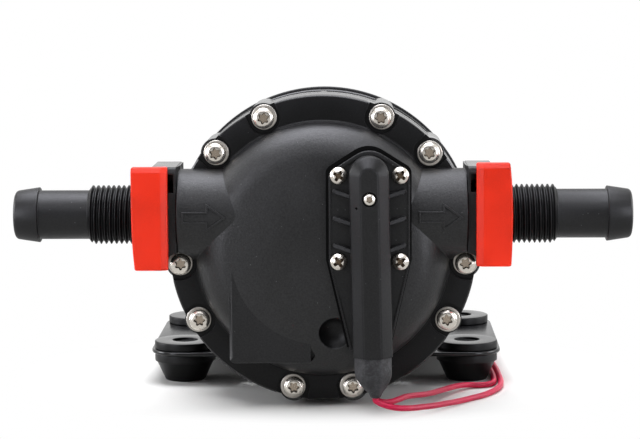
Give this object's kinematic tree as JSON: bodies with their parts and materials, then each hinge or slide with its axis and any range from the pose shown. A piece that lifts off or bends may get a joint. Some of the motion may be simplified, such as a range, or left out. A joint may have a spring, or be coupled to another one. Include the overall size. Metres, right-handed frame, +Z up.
{
  "type": "caravan water pump",
  "caption": "Diaphragm water pump: domed head with screwed flange, slide-clip hose ports on both sides, pressure switch on the front, motor behind and rubber feet below.",
  "frame": {"origin": "on the floor, in the middle of the four foot screw holes", "axes": "+Z up, +X to the outlet side along the ports, -Y to the front where the dome and switch are, +Y to the motor"},
  "size_m": [0.2176, 0.201, 0.1112],
  "materials": {
    "black_plastic": "moulded glass-filled polyamide, fine satin texture",
    "black_fitting": "moulded polypropylene, semi-gloss",
    "red_plastic": "moulded acetal, satin",
    "stainless": "turned stainless steel",
    "black_rubber": "moulded rubber, matt",
    "seal_rubber": "nitrile rubber",
    "motor_paint": "satin black powder coat",
    "white_plastic": "moulded acetal, natural white",
    "bearing_steel": "ground bearing steel",
    "hub_steel": "sintered steel",
    "magnet": "sintered ferrite",
    "core_steel": "stacked steel laminations",
    "copper": "enamelled copper",
    "bronze": "sintered bronze",
    "carbon": "carbon brush",
    "holder_board": "phenolic board",
    "boot_rubber": "flexible sealing compound, matt",
    "red_wire": "PVC wire insulation"
  },
  "bodies": {
    "pump_body": {"pump_head": "black_plastic", "head_screws": "stainless", "head_washers": "stainless", "head_seal": "seal_rubber", "valve_plate": "white_plastic", "inlet_valves": "seal_rubber", "outlet_valve": "seal_rubber", "diaphragm": "seal_rubber", "drive_housing": "black_plastic", "motor_adaptor": "black_plastic", "adaptor_screws": "stainless", "motor_screws": "stainless", "shaft_bearing_outer": "bearing_steel", "shaft_bearing_balls": "bearing_steel", "motor_can": "motor_paint", "magnets": "magnet", "brushes": "carbon", "brush_springs": "stainless", "brush_holder": "holder_board", "motor_end_cap": "black_plastic", "rear_bush": "bronze", "through_bolts": "stainless", "lead_grommet": "black_rubber", "base_plate": "motor_paint", "motor_cradle": "black_plastic", "cradle_screws": "stainless", "foot_front_left": "black_rubber", "foot_front_right": "black_rubber", "foot_rear_left": "black_rubber", "foot_rear_right": "black_rubber", "switch_cover": "black_plastic", "switch_screws": "stainless", "switch_diaphragm": "seal_rubber", "microswitch": "black_plastic", "switch_boot": "boot_rubber", "supply_wire": "red_wire", "motor_wire": "red_wire"},
    "rotor": {"motor_shaft": "bearing_steel", "armature_core": "core_steel", "armature_windings": "copper", "commutator": "copper", "cam_hub": "hub_steel", "cam_set_screw": "stainless", "wobble_bearing_inner": "bearing_steel", "shaft_bearing_inner": "bearing_steel"},
    "wobble": {"wobble_plate": "white_plastic", "wobble_bearing_outer": "bearing_steel", "wobble_bearing_balls": "bearing_steel", "pistons": "white_plastic", "piston_screws": "stainless"},
    "inlet_hose_fitting": {"inlet_fitting": "black_fitting", "inlet_seal_ring": "seal_rubber"},
    "outlet_hose_fitting": {"outlet_fitting": "black_fitting", "outlet_seal_ring": "seal_rubber"},
    "inlet_slide_clip": {"inlet_clip": "red_plastic"},
    "outlet_slide_clip": {"outlet_clip": "red_plastic"},
    "plunger": {"switch_plunger": "white_plastic", "switch_spring": "stainless"},
    "button": {"microswitch_button": "red_plastic"},
    "adjuster": {"adjusting_screw": "stainless"}
  },
  "joints": [
    {"name": "motor_spin", "type": "hinge", "parent": "pump_body", "child": "rotor", "pos_m": [0, 0, 0.0563], "axis": [0, -1, 0], "continuous": true},
    {"name": "wobble_nutation", "type": "hinge", "parent": "rotor", "child": "wobble", "pos_m": [0, -0.051, 0.0563], "axis": [0, -0.9986, -0.0523], "continuous": true},
    {"name": "inlet_clip_slide", "type": "slide", "parent": "pump_body", "child": "inlet_slide_clip", "axis": [0, -1, 0], "range_m": [0, 0.014]},
    {"name": "outlet_clip_slide", "type": "slide", "parent": "pump_body", "child": "outlet_slide_clip", "axis": [0, -1, 0], "range_m": [0, 0.014]},
    {"name": "inlet_swivel", "type": "hinge", "parent": "pump_body", "child": "inlet_hose_fitting", "pos_m": [-0.06, -0.0807, 0.0687], "axis": [-1, 0, 0], "continuous": true},
    {"name": "outlet_swivel", "type": "hinge", "parent": "pump_body", "child": "outlet_hose_fitting", "pos_m": [0.06, -0.0807, 0.0687], "axis": [1, 0, 0], "continuous": true},
    {"name": "plunger_slide", "type": "slide", "parent": "pump_body", "child": "plunger", "axis": [0, -1, 0], "range_m": [0, 0.0008], "stiffness_N_per_m": 1000},
    {"name": "button_slide", "type": "slide", "parent": "pump_body", "child": "button", "axis": [0, -1, 0], "range_m": [0, 0.0008]},
    {"name": "adjuster_turn", "type": "hinge", "parent": "pump_body", "child": "adjuster", "pos_m": [0.0165, -0.11, 0.0767], "axis": [0, -1, 0], "range_deg": [-360, 360]}
  ],
  "couplings": [
    {"joint": "wobble_nutation", "follows": "motor_spin", "ratio": -1},
    {"joint": "button_slide", "follows": "plunger_slide", "ratio": 1}
  ]
}
